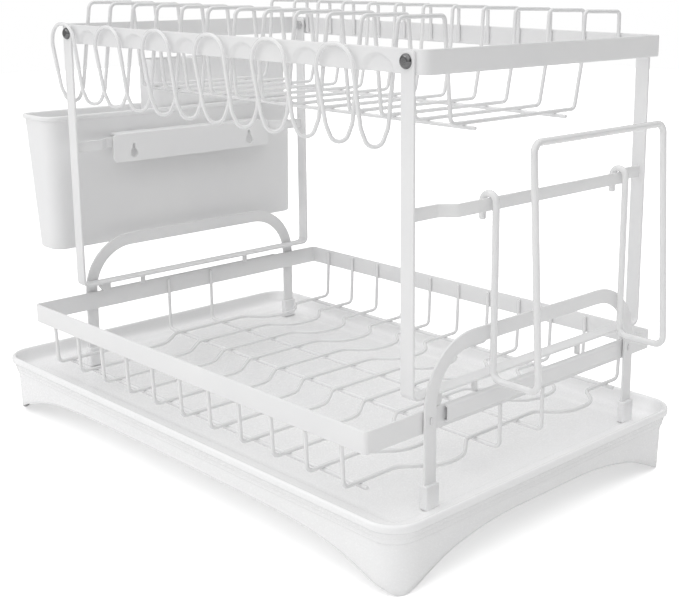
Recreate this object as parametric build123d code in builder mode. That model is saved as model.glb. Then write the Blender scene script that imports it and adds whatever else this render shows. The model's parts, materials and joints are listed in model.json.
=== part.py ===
"""Two-tier dish drying rack: drip tray, wire baskets, utensil bin and board holder.

Millimetres, +Z up, -Y is the front. The origin is the centre of the rack on the floor plane.
"""
import os

from build123d import *

os.makedirs("parts", exist_ok=True)

# ---------------------------------------------------------------- stock sizes
WIRE_R = 1.5
STRIP_T = 2.0
SIDES = {"left": -1, "right": 1}

# ---------------------------------------------------------------- drip tray
TRAY_X, TRAY_Y = -13.0, -2.7
TRAY_L, TRAY_W, TRAY_H = 509.0, 322.0, 52.2
TRAY_R = 22.0
FOOT_L, FOOT_W = 497.0, 312.0
LIP_H, LIP_W = 6.0, 3.0
BAND_H, BAND_STEP = 9.0, 1.6
TRAY_WALL = 2.4
BASIN_Z, BASIN_T = 40.0, 2.4
ARCH_H, ARCH_SHOULDER = 26.0, 70.0
ARCH_EDGE_L, ARCH_EDGE_W = 6.0, 14.0

# ---------------------------------------------------------------- lower basket
RIM_L, RIM_W = 420.0, 316.6
RIM_Z, RIM_H, RIM_R = 92.8, 15.8, 3.0
LOW_COUNT, LOW_PITCH = 11, 36.6
LOW_Z, LOW_BEND = 61.0, 5.0
LOW_LEG_Y = RIM_W / 2 - STRIP_T - WIRE_R
LOW_FLOOR_Y = LOW_LEG_Y - 1.4
LOW_TOP_Z = RIM_Z + RIM_H - 1.6
BULGE = 20.4
BULGE_FRONT = (-104.5, -80.0, -58.0, -33.7)
BULGE_BACK = (44.6, 62.0, 92.5, 110.0)
BULGE_BASE_R, BULGE_CREST_R = 11.0, 24.0
BULGE_BENDS = (BULGE_BASE_R, BULGE_CREST_R, BULGE_CREST_R, BULGE_BASE_R)
LEG_SPLAY_R = 8.0
CROSS_Z = LOW_Z - 2 * WIRE_R
CROSS_LEG_X = RIM_L / 2 - STRIP_T - WIRE_R
LONG_CROSS_Y = 24.0
STUB_CROSS_Y, STUB_CROSS_X = 138.5, 190.0

# ---------------------------------------------------------------- side frames
POST_X, POST_W, POST_CORNER = 204.3, 12.0, 4.0
POST_FRONT, POST_BACK = -116.5, 140.5
POST_TOP, BAR_Z = 346.5, 116.7
POST_BEND = 6.0

# ---------------------------------------------------------------- upper basket
UP_X, UP_FRONT, UP_BACK = 218.0, -114.5, 144.5
UP_Z, UP_H, UP_R = 330.5, 16.0, 7.0
EMBOSS_X = (-175.0, -105.0, -35.0, 35.0, 105.0, 175.0)
EMBOSS_W, EMBOSS_TOP, EMBOSS_D, DIMPLE_D = 28.0, 12.0, 1.4, 1.2
EMBOSS_EDGE = 2.0
UP_COUNT = 12
PLATE_X, PLATE_PITCH = -7.4, 34.0
TROUGH_X, TROUGH_PITCH = -16.3, 34.4
TROUGH_REACH, TROUGH_BACK = 9.5, -102.5
LOOP_X, LOOP_PITCH, LOOP_W = -39.0, 34.7, 38.0
LOOP_Y = POST_FRONT - WIRE_R
LOOP_TOP = 346.6
TROUGH_TOP_Z, TROUGH_Z = 293.0, 269.4
UP_FLOOR_Z = 291.5
UP_CROSS_Z = UP_FLOOR_Z - 2 * WIRE_R
UP_CROSS_Y = (-36.0, 64.0)
UP_CROSS_X = (-205.0, 190.0)

# ---------------------------------------------------------------- arch legs and feet
LEG_IN, LEG_OUT = 211.0, 213.0
LEG_W, LEG_TOP, LEG_BEND = 11.0, 156.5, 48.0
LEG_FRONT, LEG_BACK = -107.5, 129.5
LEG_FOOT_Z = 41.6
CAP_X, CAP_Y, CAP_Z = 7.0, 13.0, 57.0
CAP_R = 1.6
RIVET_Z, RIVET_W, RIVET_H = 101.5, 2.4, 5.4

# ---------------------------------------------------------------- side channels, studs, bars
CHAN_FRONT, CHAN_BACK = -86.5, 106.5
CHAN_Z, CHAN_H, CHAN_D, CHAN_T = 96.6, 12.0, 4.6, 1.2
STUD_Y, STUD_R = (-52.0, 65.0), 2.2
CLIP_Y, CLIP_L = -91.8, 9.5
BAR_H, BAR_BOTTOM = 9.0, 236.5
BAR_IN, BAR_OUT = 205.0, 214.0
BAR_JOG = (-89.0, -79.0, 104.0, 114.0)

# ---------------------------------------------------------------- board holder
HOOK_R = 2.5
HOOK_X, HOOK_BEND, HOOK_Z = 214.0, 6.0, 242.4
HOOK_Y = (-48.0, 100.0)
HOOK_TAIL_Z = 230.0
HOLDER_Z, HOLDER_X, HOLDER_TOP_X, HOLDER_TOP_Z = 119.0, 260.0, 251.0, 286.0

# ---------------------------------------------------------------- utensil bin
BIN_IN, BIN_OUT_TOP, BIN_OUT_BOTTOM = -228.0, -275.5, -263.0
BIN_FRONT, BIN_BACK = -127.0, 148.0
BIN_BOTTOM, BIN_TOP = 146.5, 266.0
BIN_WALL, BIN_R, BIN_LIP, BIN_LIP_H = 2.0, 12.0, 2.2, 4.0
PLATE_FRONT, PLATE_BACK = -73.0, 102.0
PLATE_IN, PLATE_T = -210.4, 1.8
PLATE_BOTTOM, PLATE_TOP = 222.0, 247.4
KEYHOLE_Y, KEYHOLE_Z, KEYHOLE_R = (-52.0, 78.0), 229.5, 4.0
KEYSLOT_W, KEYSLOT_H = 3.0, 5.0
INSERT_FRONT, INSERT_BACK = -15.0, 143.0
INSERT_IN, INSERT_OUT = -231.5, -259.5
INSERT_BOTTOM, INSERT_TOP = 149.0, 310.0
INSERT_WALL, INSERT_R = 1.8, 7.0

# ---------------------------------------------------------------- screws
SCREW_X, SCREW_Z = 203.5, 338.8
SCREW_R, SCREW_DOME = 4.9, 2.6
NUT_R, NUT_H = 4.4, 3.0


def save(body, label):
    """Name a finished piece and write it to its own file."""
    body.part.label = label
    export_step(body.part, f"parts/{label}.step")


def round_wire(label, points, bend, radius=WIRE_R):
    """A bent round wire that follows the given corner points."""
    with BuildPart() as wire:
        with BuildLine() as path:
            FilletPolyline(*points, radius=bend)
        with BuildSketch(Plane(origin=path.line @ 0, z_dir=path.line % 0)):
            Circle(radius)
        sweep()
    save(wire, label)


# ---------------------------------------------------------------- drip tray
with BuildPart() as drip_tray:
    with BuildSketch(Plane.XY):
        with Locations((TRAY_X, TRAY_Y)):
            RectangleRounded(FOOT_L, FOOT_W, TRAY_R)
    with BuildSketch(Plane.XY.offset(TRAY_H - LIP_H - BAND_H)):
        with Locations((TRAY_X, TRAY_Y)):
            RectangleRounded(TRAY_L - 2 * LIP_W - 2 * BAND_STEP, TRAY_W - 2 * LIP_W - 2 * BAND_STEP, TRAY_R)
    loft()
    with BuildSketch(Plane.XY.offset(TRAY_H - LIP_H - BAND_H)):
        with Locations((TRAY_X, TRAY_Y)):
            RectangleRounded(TRAY_L - 2 * LIP_W, TRAY_W - 2 * LIP_W, TRAY_R)
    extrude(amount=BAND_H)
    with BuildSketch(Plane.XY.offset(TRAY_H - LIP_H)):
        with Locations((TRAY_X, TRAY_Y)):
            RectangleRounded(TRAY_L, TRAY_W, TRAY_R + LIP_W)
    extrude(amount=LIP_H)
    fillet(drip_tray.faces().sort_by(Axis.Z)[-1].edges(), radius=LIP_W * 0.8)
    with BuildSketch(Plane.XY.offset(BASIN_Z)):
        with Locations((TRAY_X, TRAY_Y)):
            RectangleRounded(FOOT_L - 4 * TRAY_WALL, FOOT_W - 4 * TRAY_WALL, TRAY_R - TRAY_WALL)
    with BuildSketch(Plane.XY.offset(TRAY_H)):
        with Locations((TRAY_X, TRAY_Y)):
            RectangleRounded(TRAY_L - 2 * LIP_W - 2, TRAY_W - 2 * LIP_W - 2, TRAY_R)
    loft(mode=Mode.SUBTRACT)
    with BuildSketch(Plane.XY):
        with Locations((TRAY_X, TRAY_Y)):
            RectangleRounded(FOOT_L - 2 * TRAY_WALL, FOOT_W - 2 * TRAY_WALL, TRAY_R - TRAY_WALL)
    extrude(amount=BASIN_Z - BASIN_T, mode=Mode.SUBTRACT)
    for plane, middle, half in (
        (Plane.XZ.offset(-TRAY_Y - TRAY_W), TRAY_X, FOOT_L / 2 - ARCH_EDGE_L),
        (Plane.YZ.offset(TRAY_X - TRAY_L), TRAY_Y, FOOT_W / 2 - ARCH_EDGE_W),
    ):
        with BuildSketch(plane):
            with BuildLine():
                Spline(
                    (middle - half, 0),
                    (middle - half + ARCH_SHOULDER * 0.45, ARCH_H * 0.62),
                    (middle - half + ARCH_SHOULDER, ARCH_H * 0.92),
                    (middle, ARCH_H),
                    (middle + half - ARCH_SHOULDER, ARCH_H * 0.92),
                    (middle + half - ARCH_SHOULDER * 0.45, ARCH_H * 0.62),
                    (middle + half, 0),
                )
                Line((middle + half, 0), (middle - half, 0))
            make_face()
        extrude(amount=2 * TRAY_L, mode=Mode.SUBTRACT)
save(drip_tray, "drip_tray")

# ---------------------------------------------------------------- lower basket
with BuildPart() as lower_rim:
    with BuildSketch(Plane.XY.offset(RIM_Z)):
        RectangleRounded(RIM_L, RIM_W, RIM_R)
        offset(amount=-STRIP_T, mode=Mode.SUBTRACT)
    extrude(amount=RIM_H)
save(lower_rim, "lower_rim")

for index in range(LOW_COUNT):
    x = (index - (LOW_COUNT - 1) / 2) * LOW_PITCH
    round_wire(
        f"lower_wire_{index + 1:02d}",
        (
            (x, -LOW_LEG_Y, LOW_TOP_Z),
            (x, -LOW_LEG_Y, RIM_Z - 2),
            (x, -LOW_FLOOR_Y, LOW_Z),
            (x, BULGE_FRONT[0], LOW_Z),
            (x + BULGE, BULGE_FRONT[1], LOW_Z),
            (x + BULGE, BULGE_FRONT[2], LOW_Z),
            (x, BULGE_FRONT[3], LOW_Z),
            (x, BULGE_BACK[0], LOW_Z),
            (x + BULGE, BULGE_BACK[1], LOW_Z),
            (x + BULGE, BULGE_BACK[2], LOW_Z),
            (x, BULGE_BACK[3], LOW_Z),
            (x, LOW_FLOOR_Y, LOW_Z),
            (x, LOW_LEG_Y, RIM_Z - 2),
            (x, LOW_LEG_Y, LOW_TOP_Z),
        ),
        (LEG_SPLAY_R, LOW_BEND) + BULGE_BENDS + BULGE_BENDS + (LOW_BEND, LEG_SPLAY_R),
    )

for label, y in (("lower_long_cross_wire_front", -LONG_CROSS_Y), ("lower_long_cross_wire_back", LONG_CROSS_Y)):
    round_wire(
        label,
        (
            (-CROSS_LEG_X, y, LOW_TOP_Z),
            (-CROSS_LEG_X, y, CROSS_Z),
            (CROSS_LEG_X, y, CROSS_Z),
            (CROSS_LEG_X, y, LOW_TOP_Z),
        ),
        LOW_BEND,
    )

for label, y in (("lower_short_cross_wire_front", -STUB_CROSS_Y), ("lower_short_cross_wire_back", STUB_CROSS_Y)):
    with BuildPart() as stub_wire:
        with BuildSketch(Plane.YZ.offset(-STUB_CROSS_X)):
            with Locations((y, CROSS_Z)):
                Circle(WIRE_R)
        extrude(amount=2 * STUB_CROSS_X)
        chamfer(stub_wire.edges().filter_by(GeomType.CIRCLE), length=0.4)
    save(stub_wire, label)

# ---------------------------------------------------------------- side frames
for side, sign in SIDES.items():
    with BuildPart() as side_frame:
        with BuildSketch(Plane.YZ.offset(sign * POST_X - POST_W / 2)):
            with BuildLine():
                FilletPolyline(
                    (POST_FRONT, POST_TOP),
                    (POST_FRONT, BAR_Z),
                    (POST_BACK, BAR_Z),
                    (POST_BACK, POST_TOP),
                    radius=POST_BEND,
                )
                FilletPolyline(
                    (POST_BACK, POST_TOP),
                    (POST_BACK - STRIP_T, POST_TOP),
                    (POST_BACK - STRIP_T, BAR_Z + STRIP_T),
                    (POST_FRONT + STRIP_T, BAR_Z + STRIP_T),
                    (POST_FRONT + STRIP_T, POST_TOP),
                    (POST_FRONT, POST_TOP),
                    radius=(0, POST_BEND - STRIP_T, POST_BEND - STRIP_T, 0),
                )
            make_face()
        extrude(amount=POST_W)
        top_edges = side_frame.edges().filter_by(Axis.Y).filter_by_position(Axis.Z, POST_TOP - 0.1, POST_TOP + 0.1)
        fillet(top_edges, radius=POST_CORNER)
    save(side_frame, f"{side}_side_frame")

# ---------------------------------------------------------------- upper basket
UP_MID = (UP_FRONT + UP_BACK) / 2
with BuildPart() as upper_rim:
    with BuildSketch(Plane.XY.offset(UP_Z)):
        with Locations((0, UP_MID)):
            RectangleRounded(2 * UP_X, UP_BACK - UP_FRONT, UP_R)
            RectangleRounded(
                2 * (UP_X - STRIP_T), UP_BACK - UP_FRONT - 2 * STRIP_T, UP_R - STRIP_T, mode=Mode.SUBTRACT
            )
    extrude(amount=UP_H)
    for x in EMBOSS_X:
        with BuildSketch(Plane.XZ.offset(-UP_FRONT - STRIP_T)):
            with Locations((x, UP_Z)):
                Ellipse(EMBOSS_W / 2, EMBOSS_TOP)
                Rectangle(EMBOSS_W, EMBOSS_TOP, align=(Align.CENTER, Align.MAX), mode=Mode.SUBTRACT)
        extrude(amount=-EMBOSS_D)
    for x in EMBOSS_X:
        with BuildSketch(Plane.XZ.offset(-UP_FRONT)):
            with Locations((x, UP_Z)):
                Ellipse(EMBOSS_W / 2 - EMBOSS_EDGE, EMBOSS_TOP - EMBOSS_EDGE)
                Rectangle(EMBOSS_W, EMBOSS_TOP, align=(Align.CENTER, Align.MAX), mode=Mode.SUBTRACT)
        extrude(amount=-DIMPLE_D, mode=Mode.SUBTRACT)
save(upper_rim, "upper_rim")


def upper_profile(index):
    """Corner points of one bent upper wire, from the back rim to the top of its front leg."""
    step = index - (UP_COUNT - 1) / 2
    x = PLATE_X + PLATE_PITCH * step
    trough = TROUGH_X + TROUGH_PITCH * step
    loop_step = 2 * (index // 2) + 1 - UP_COUNT / 2
    loop_half = LOOP_W / 2 if index % 2 else -LOOP_W / 2
    front = LOOP_X + LOOP_PITCH * loop_step + loop_half
    back_y = UP_BACK - STRIP_T - WIRE_R
    return (
        (x, back_y, UP_Z + 1.5),
        (x, back_y, 363.0),
        (x, 97.0, 364.0),
        (x, 94.0, 324.0),
        (x, 87.0, UP_FLOOR_Z),
        (x, -50.0, UP_FLOOR_Z),
        (x, -57.0, 364.5),
        (x - 2.0, -98.0, 364.5),
        (trough, TROUGH_BACK, TROUGH_TOP_Z),
        (trough - TROUGH_REACH / 2, (TROUGH_BACK + LOOP_Y) / 2, TROUGH_Z),
        (trough - TROUGH_REACH, LOOP_Y, TROUGH_TOP_Z),
        (front, LOOP_Y, LOOP_TOP),
    )


UP_BENDS = (3.5, 3.5, 20.0, 5.0, 5.0, 3.5, 5.0, 14.0, 6.5, 14.0, 16.0)
for pair in range(UP_COUNT // 2):
    round_wire(
        f"upper_wire_pair_{pair + 1}",
        upper_profile(2 * pair) + upper_profile(2 * pair + 1)[::-1],
        UP_BENDS + UP_BENDS[::-1],
    )

for label, y in zip(("upper_cross_wire_front", "upper_cross_wire_back"), UP_CROSS_Y):
    with BuildPart() as upper_cross:
        with BuildSketch(Plane.YZ.offset(UP_CROSS_X[0])):
            with Locations((y, UP_CROSS_Z)):
                Circle(WIRE_R)
        extrude(amount=UP_CROSS_X[1] - UP_CROSS_X[0])
        chamfer(upper_cross.edges().filter_by(GeomType.CIRCLE), length=0.4)
    save(upper_cross, label)

# ---------------------------------------------------------------- arch legs and feet
for side, sign in SIDES.items():
    with BuildPart() as arch_leg:
        with BuildSketch(Plane.YZ.offset(sign * LEG_IN)):
            with BuildLine():
                FilletPolyline(
                    (LEG_FRONT, LEG_FOOT_Z),
                    (LEG_FRONT, LEG_TOP),
                    (LEG_BACK, LEG_TOP),
                    (LEG_BACK, LEG_FOOT_Z),
                    radius=LEG_BEND,
                )
                Line((LEG_BACK, LEG_FOOT_Z), (LEG_BACK - LEG_W, LEG_FOOT_Z))
                FilletPolyline(
                    (LEG_BACK - LEG_W, LEG_FOOT_Z),
                    (LEG_BACK - LEG_W, LEG_TOP - LEG_W),
                    (LEG_FRONT + LEG_W, LEG_TOP - LEG_W),
                    (LEG_FRONT + LEG_W, LEG_FOOT_Z),
                    radius=LEG_BEND - LEG_W,
                )
                Line((LEG_FRONT + LEG_W, LEG_FOOT_Z), (LEG_FRONT, LEG_FOOT_Z))
            make_face()
        extrude(amount=sign * (LEG_OUT - LEG_IN))
    save(arch_leg, f"{side}_arch_leg")

CAP_SPOTS = {"front": LEG_FRONT + LEG_W / 2, "back": LEG_BACK - LEG_W / 2}
LEG_MID_X = (LEG_IN + LEG_OUT) / 2
for side, sign in SIDES.items():
    for place, y in CAP_SPOTS.items():
        with BuildPart() as foot_cap:
            with BuildSketch(Plane.XY.offset(BASIN_Z)):
                with Locations((sign * LEG_MID_X, y)):
                    RectangleRounded(CAP_X, CAP_Y, CAP_R)
            extrude(amount=CAP_Z - BASIN_Z)
            fillet(foot_cap.faces().sort_by(Axis.Z)[-1].edges(), radius=0.8)
            with BuildSketch(Plane.XY.offset(LEG_FOOT_Z)):
                with Locations((sign * LEG_MID_X, y)):
                    Rectangle(STRIP_T, LEG_W)
            extrude(amount=CAP_Z - LEG_FOOT_Z, mode=Mode.SUBTRACT)
        save(foot_cap, f"{side}_{place}_foot_cap")

with BuildPart() as leg_rivets:
    for sign in SIDES.values():
        for y in CAP_SPOTS.values():
            with BuildSketch(Plane.YZ.offset(sign * LEG_OUT)):
                with Locations((y, RIVET_Z)):
                    SlotOverall(RIVET_H, RIVET_W, rotation=90)
            extrude(amount=sign * 0.8)
            with BuildSketch(Plane.YZ.offset(sign * RIM_L / 2)):
                with Locations((y, RIVET_Z)):
                    SlotOverall(RIVET_H, RIVET_W, rotation=90)
            extrude(amount=sign * (LEG_IN - RIM_L / 2))
save(leg_rivets, "leg_rivets")

# ---------------------------------------------------------------- side channels and clips
for side, sign in SIDES.items():
    with BuildPart() as side_channel:
        with BuildSketch(Plane.XZ.offset(-CHAN_FRONT)):
            with Locations((sign * (RIM_L / 2 + CHAN_D / 2), CHAN_Z + CHAN_H / 2)):
                Rectangle(CHAN_D, CHAN_H)
        extrude(amount=CHAN_FRONT - CHAN_BACK)
        outer = side_channel.faces().sort_by(Axis.X)[-1 if sign > 0 else 0]
        fillet(outer.edges().filter_by(Axis.Y), radius=1.8)
        with BuildSketch(Plane.XZ.offset(-CHAN_FRONT)):
            with Locations((sign * (RIM_L / 2 + (CHAN_D - CHAN_T) / 2), CHAN_Z + CHAN_H / 2)):
                Rectangle(CHAN_D - CHAN_T, CHAN_H - 2 * CHAN_T)
        extrude(amount=CHAN_FRONT - CHAN_BACK, mode=Mode.SUBTRACT)
    save(side_channel, f"{side}_side_channel")

    with BuildPart() as frame_studs:
        for y in STUD_Y:
            with BuildSketch(Plane.XY.offset(RIM_Z + RIM_H)):
                with Locations((sign * (RIM_L / 2 - 3.6), y)):
                    Circle(STUD_R)
            extrude(amount=BAR_Z - RIM_Z - RIM_H)
    save(frame_studs, f"{side}_frame_studs")

    with BuildPart() as frame_clip:
        with BuildSketch(Plane.YZ.offset(sign * (RIM_L / 2) - 6 * sign)):
            with BuildLine():
                Polyline(
                    (CLIP_Y - CLIP_L / 2, BAR_Z),
                    (CLIP_Y - CLIP_L / 2, BAR_Z - 4.2),
                    (CLIP_Y - CLIP_L / 2 + 3, RIM_Z + RIM_H),
                    (CLIP_Y + CLIP_L / 2 - 2, RIM_Z + RIM_H),
                    (CLIP_Y + CLIP_L / 2, BAR_Z - 5),
                    (CLIP_Y + CLIP_L / 2, BAR_Z),
                    close=True,
                )
            make_face()
        extrude(amount=sign * 5)
    save(frame_clip, f"{side}_frame_clip")

    with BuildPart() as hanger_bar:
        with BuildSketch(Plane.XY.offset(BAR_BOTTOM)):
            with BuildLine() as bar_line:
                FilletPolyline(
                    (sign * BAR_IN, POST_FRONT + STRIP_T),
                    (sign * BAR_IN, BAR_JOG[0]),
                    (sign * BAR_OUT, BAR_JOG[1]),
                    (sign * BAR_OUT, BAR_JOG[2]),
                    (sign * BAR_IN, BAR_JOG[3]),
                    (sign * BAR_IN, POST_BACK - STRIP_T),
                    radius=4,
                )
            trace(line_width=STRIP_T)
        extrude(amount=BAR_H)
    save(hanger_bar, f"{side}_hanger_bar")

# ---------------------------------------------------------------- board holder
with BuildPart() as board_holder:
    front_y, back_y = HOOK_Y
    with BuildLine() as holder_path:
        FilletPolyline(
            (HOOK_X - HOOK_BEND, front_y, HOOK_TAIL_Z),
            (HOOK_X - HOOK_BEND, front_y, HOOK_Z + HOOK_BEND),
            (HOOK_X + HOOK_BEND, front_y, HOOK_Z + HOOK_BEND),
            (HOOK_X + HOOK_BEND, front_y, HOLDER_Z),
            (HOLDER_X, front_y, HOLDER_Z),
            (HOLDER_TOP_X, front_y, HOLDER_TOP_Z),
            (HOLDER_TOP_X, back_y, HOLDER_TOP_Z),
            (HOLDER_X, back_y, HOLDER_Z),
            (HOOK_X + HOOK_BEND, back_y, HOLDER_Z),
            (HOOK_X + HOOK_BEND, back_y, HOOK_Z + HOOK_BEND),
            (HOOK_X - HOOK_BEND, back_y, HOOK_Z + HOOK_BEND),
            (HOOK_X - HOOK_BEND, back_y, HOOK_TAIL_Z),
            radius=(5.99, 5.99, 7, 7, 7, 7, 7, 7, 5.99, 5.99),
        )
    with BuildSketch(Plane(origin=holder_path.line @ 0, z_dir=holder_path.line % 0)):
        Circle(HOOK_R)
    sweep()
save(board_holder, "board_holder")

# ---------------------------------------------------------------- utensil bin
BIN_MID_Y = (BIN_FRONT + BIN_BACK) / 2
BIN_LEN = BIN_BACK - BIN_FRONT
BIN_TOP_W = BIN_IN - BIN_OUT_TOP
BIN_BOTTOM_W = BIN_IN - BIN_OUT_BOTTOM
with BuildPart() as utensil_bin:
    with BuildSketch(Plane.XY.offset(BIN_BOTTOM)):
        with Locations((BIN_IN - BIN_BOTTOM_W / 2, BIN_MID_Y)):
            RectangleRounded(BIN_BOTTOM_W, BIN_LEN - 4, BIN_R)
    with BuildSketch(Plane.XY.offset(BIN_TOP)):
        with Locations((BIN_IN - BIN_TOP_W / 2, BIN_MID_Y)):
            RectangleRounded(BIN_TOP_W, BIN_LEN, BIN_R)
    loft()
    with BuildSketch(Plane.XY.offset(BIN_TOP - BIN_LIP_H)):
        with Locations((BIN_IN - BIN_TOP_W / 2, BIN_MID_Y)):
            RectangleRounded(BIN_TOP_W + 2 * BIN_LIP, BIN_LEN + 2 * BIN_LIP, BIN_R + BIN_LIP)
    extrude(amount=BIN_LIP_H)
    with BuildSketch(Plane.XY.offset(BIN_BOTTOM + BIN_WALL)):
        with Locations((BIN_IN - BIN_BOTTOM_W / 2, BIN_MID_Y)):
            RectangleRounded(BIN_BOTTOM_W - 2 * BIN_WALL, BIN_LEN - 4 - 2 * BIN_WALL, BIN_R - BIN_WALL)
    with BuildSketch(Plane.XY.offset(BIN_TOP)):
        with Locations((BIN_IN - BIN_TOP_W / 2, BIN_MID_Y)):
            RectangleRounded(BIN_TOP_W - 2 * BIN_WALL, BIN_LEN - 2 * BIN_WALL, BIN_R - BIN_WALL)
    loft(mode=Mode.SUBTRACT)
save(utensil_bin, "utensil_bin")

with BuildPart() as bin_hanger_plate:
    with BuildSketch(Plane.YZ.offset(PLATE_IN - PLATE_T)):
        with Locations(((PLATE_FRONT + PLATE_BACK) / 2, (PLATE_BOTTOM + PLATE_TOP) / 2)):
            RectangleRounded(PLATE_BACK - PLATE_FRONT, PLATE_TOP - PLATE_BOTTOM, 4)
        with Locations(*[(y, KEYHOLE_Z) for y in KEYHOLE_Y]):
            Circle(KEYHOLE_R, mode=Mode.SUBTRACT)
            Rectangle(
                KEYSLOT_W, KEYHOLE_R + KEYSLOT_H, align=(Align.CENTER, Align.MIN), mode=Mode.SUBTRACT
            )
    extrude(amount=PLATE_T)
    with BuildSketch(Plane.XZ.offset(-PLATE_FRONT - 8)):
        with Locations((PLATE_IN, PLATE_TOP)):
            Rectangle(PLATE_IN - BIN_IN, PLATE_T, align=(Align.MAX, Align.MAX))
    extrude(amount=-(PLATE_BACK - PLATE_FRONT - 16))
save(bin_hanger_plate, "bin_hanger_plate")

INSERT_MID_Y = (INSERT_FRONT + INSERT_BACK) / 2
INSERT_LEN = INSERT_BACK - INSERT_FRONT
INSERT_MID_X = (INSERT_IN + INSERT_OUT) / 2
INSERT_W = INSERT_IN - INSERT_OUT
with BuildPart() as cutlery_insert:
    with BuildSketch(Plane.XY.offset(INSERT_BOTTOM)):
        with Locations((INSERT_MID_X, INSERT_MID_Y)):
            RectangleRounded(INSERT_W, INSERT_LEN, INSERT_R)
    extrude(amount=INSERT_TOP - INSERT_BOTTOM)
    fillet(cutlery_insert.faces().sort_by(Axis.Z)[-1].edges(), radius=INSERT_WALL * 0.45)
    with BuildSketch(Plane.XY.offset(INSERT_BOTTOM + INSERT_WALL)):
        with GridLocations(0, INSERT_LEN / 3, 1, 3):
            with Locations((INSERT_MID_X, INSERT_MID_Y)):
                RectangleRounded(INSERT_W - 2 * INSERT_WALL, INSERT_LEN / 3 - 2 * INSERT_WALL, 5)
    extrude(amount=INSERT_TOP - INSERT_BOTTOM, mode=Mode.SUBTRACT)
save(cutlery_insert, "cutlery_insert")

# ---------------------------------------------------------------- screws
with BuildPart() as dome_screws:
    for sign in SIDES.values():
        with BuildSketch(Plane.XZ.offset(-POST_FRONT)):
            with Locations((sign * SCREW_X, SCREW_Z)):
                Circle(SCREW_R)
        extrude(amount=SCREW_DOME)
        with BuildSketch(Plane.XZ.offset(-UP_BACK)):
            with Locations((sign * SCREW_X, SCREW_Z)):
                Circle(SCREW_R)
        extrude(amount=-SCREW_DOME)
    domes = dome_screws.faces().filter_by(Axis.Y).group_by(Axis.Y)
    fillet(domes[0].edges() + domes[-1].edges(), radius=SCREW_DOME * 0.9)
save(dome_screws, "dome_screws")

with BuildPart() as cap_nuts:
    for sign in SIDES.values():
        for y, reach in ((UP_FRONT + STRIP_T, -NUT_H), (POST_BACK - STRIP_T, NUT_H)):
            with BuildSketch(Plane.XZ.offset(-y)):
                with Locations((sign * SCREW_X, SCREW_Z)):
                    RegularPolygon(NUT_R, 6)
            extrude(amount=reach)
save(cap_nuts, "cap_nuts")

with BuildPart() as post_spacers:
    for sign in SIDES.values():
        with BuildSketch(Plane.XZ.offset(-POST_BACK)):
            with Locations((sign * SCREW_X, SCREW_Z)):
                Circle(SCREW_R)
        extrude(amount=-(UP_BACK - STRIP_T - POST_BACK))
save(post_spacers, "post_spacers")
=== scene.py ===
import json
import math

import bpy
from mathutils import Matrix, Vector


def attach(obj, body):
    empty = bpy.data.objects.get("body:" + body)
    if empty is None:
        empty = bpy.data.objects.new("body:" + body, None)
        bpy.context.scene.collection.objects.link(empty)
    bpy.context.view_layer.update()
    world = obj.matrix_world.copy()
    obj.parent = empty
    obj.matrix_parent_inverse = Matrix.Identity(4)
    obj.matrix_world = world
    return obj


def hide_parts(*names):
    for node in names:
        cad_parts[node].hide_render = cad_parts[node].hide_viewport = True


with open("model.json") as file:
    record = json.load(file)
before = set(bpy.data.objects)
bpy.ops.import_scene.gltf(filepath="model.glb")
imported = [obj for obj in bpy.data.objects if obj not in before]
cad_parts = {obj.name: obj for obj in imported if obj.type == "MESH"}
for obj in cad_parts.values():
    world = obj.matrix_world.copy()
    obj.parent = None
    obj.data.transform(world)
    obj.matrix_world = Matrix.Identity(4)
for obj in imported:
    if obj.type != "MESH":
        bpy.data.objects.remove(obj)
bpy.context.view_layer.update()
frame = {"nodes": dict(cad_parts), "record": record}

# Lengths are in millimetres, in the frame of the CAD, and become metres as each mesh is made.
MM = 0.001
FINE_TURN = math.radians(7.5)
SIDES = (("left", -1), ("right", 1))

WIRE_R, WIRE_SHARP = 1.5, 70
STRIP_T, STRIP_EDGE, STRIP_SHARP = 2.0, 0.55, 60
RIM_EDGE = 0.6
MOULDED_SHARP = 50


# ------------------------------------------------------------------ mesh helpers
def smoothstep(a, b, v):
    t = min(max((v - a) / (b - a), 0.0), 1.0)
    return t * t * (3 - 2 * t)


def add_object(name, data):
    thing = bpy.data.objects.new(name, data)
    bpy.context.scene.collection.objects.link(thing)
    return thing


def shade_smooth(mesh):
    for polygon in mesh.polygons:
        polygon.use_smooth = True


def make_mesh(name, verts, faces):
    """A smooth mesh object from points in millimetres."""
    mesh = bpy.data.meshes.new(name)
    mesh.from_pydata([tuple(Vector(v) * MM) for v in verts], [], faces)
    mesh.validate()
    mesh.update()
    shade_smooth(mesh)
    return add_object(name, mesh)


def place(piece, body, material, nodes=(), sharp=MOULDED_SHARP):
    """Gives a finished piece its body and material, and hides the CAD nodes it stands for."""
    piece.data.materials.clear()
    piece.data.materials.append(material)
    piece.data.set_sharp_from_angle(angle=math.radians(sharp))
    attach(piece, body)
    if nodes:
        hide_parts(*nodes)


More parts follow.
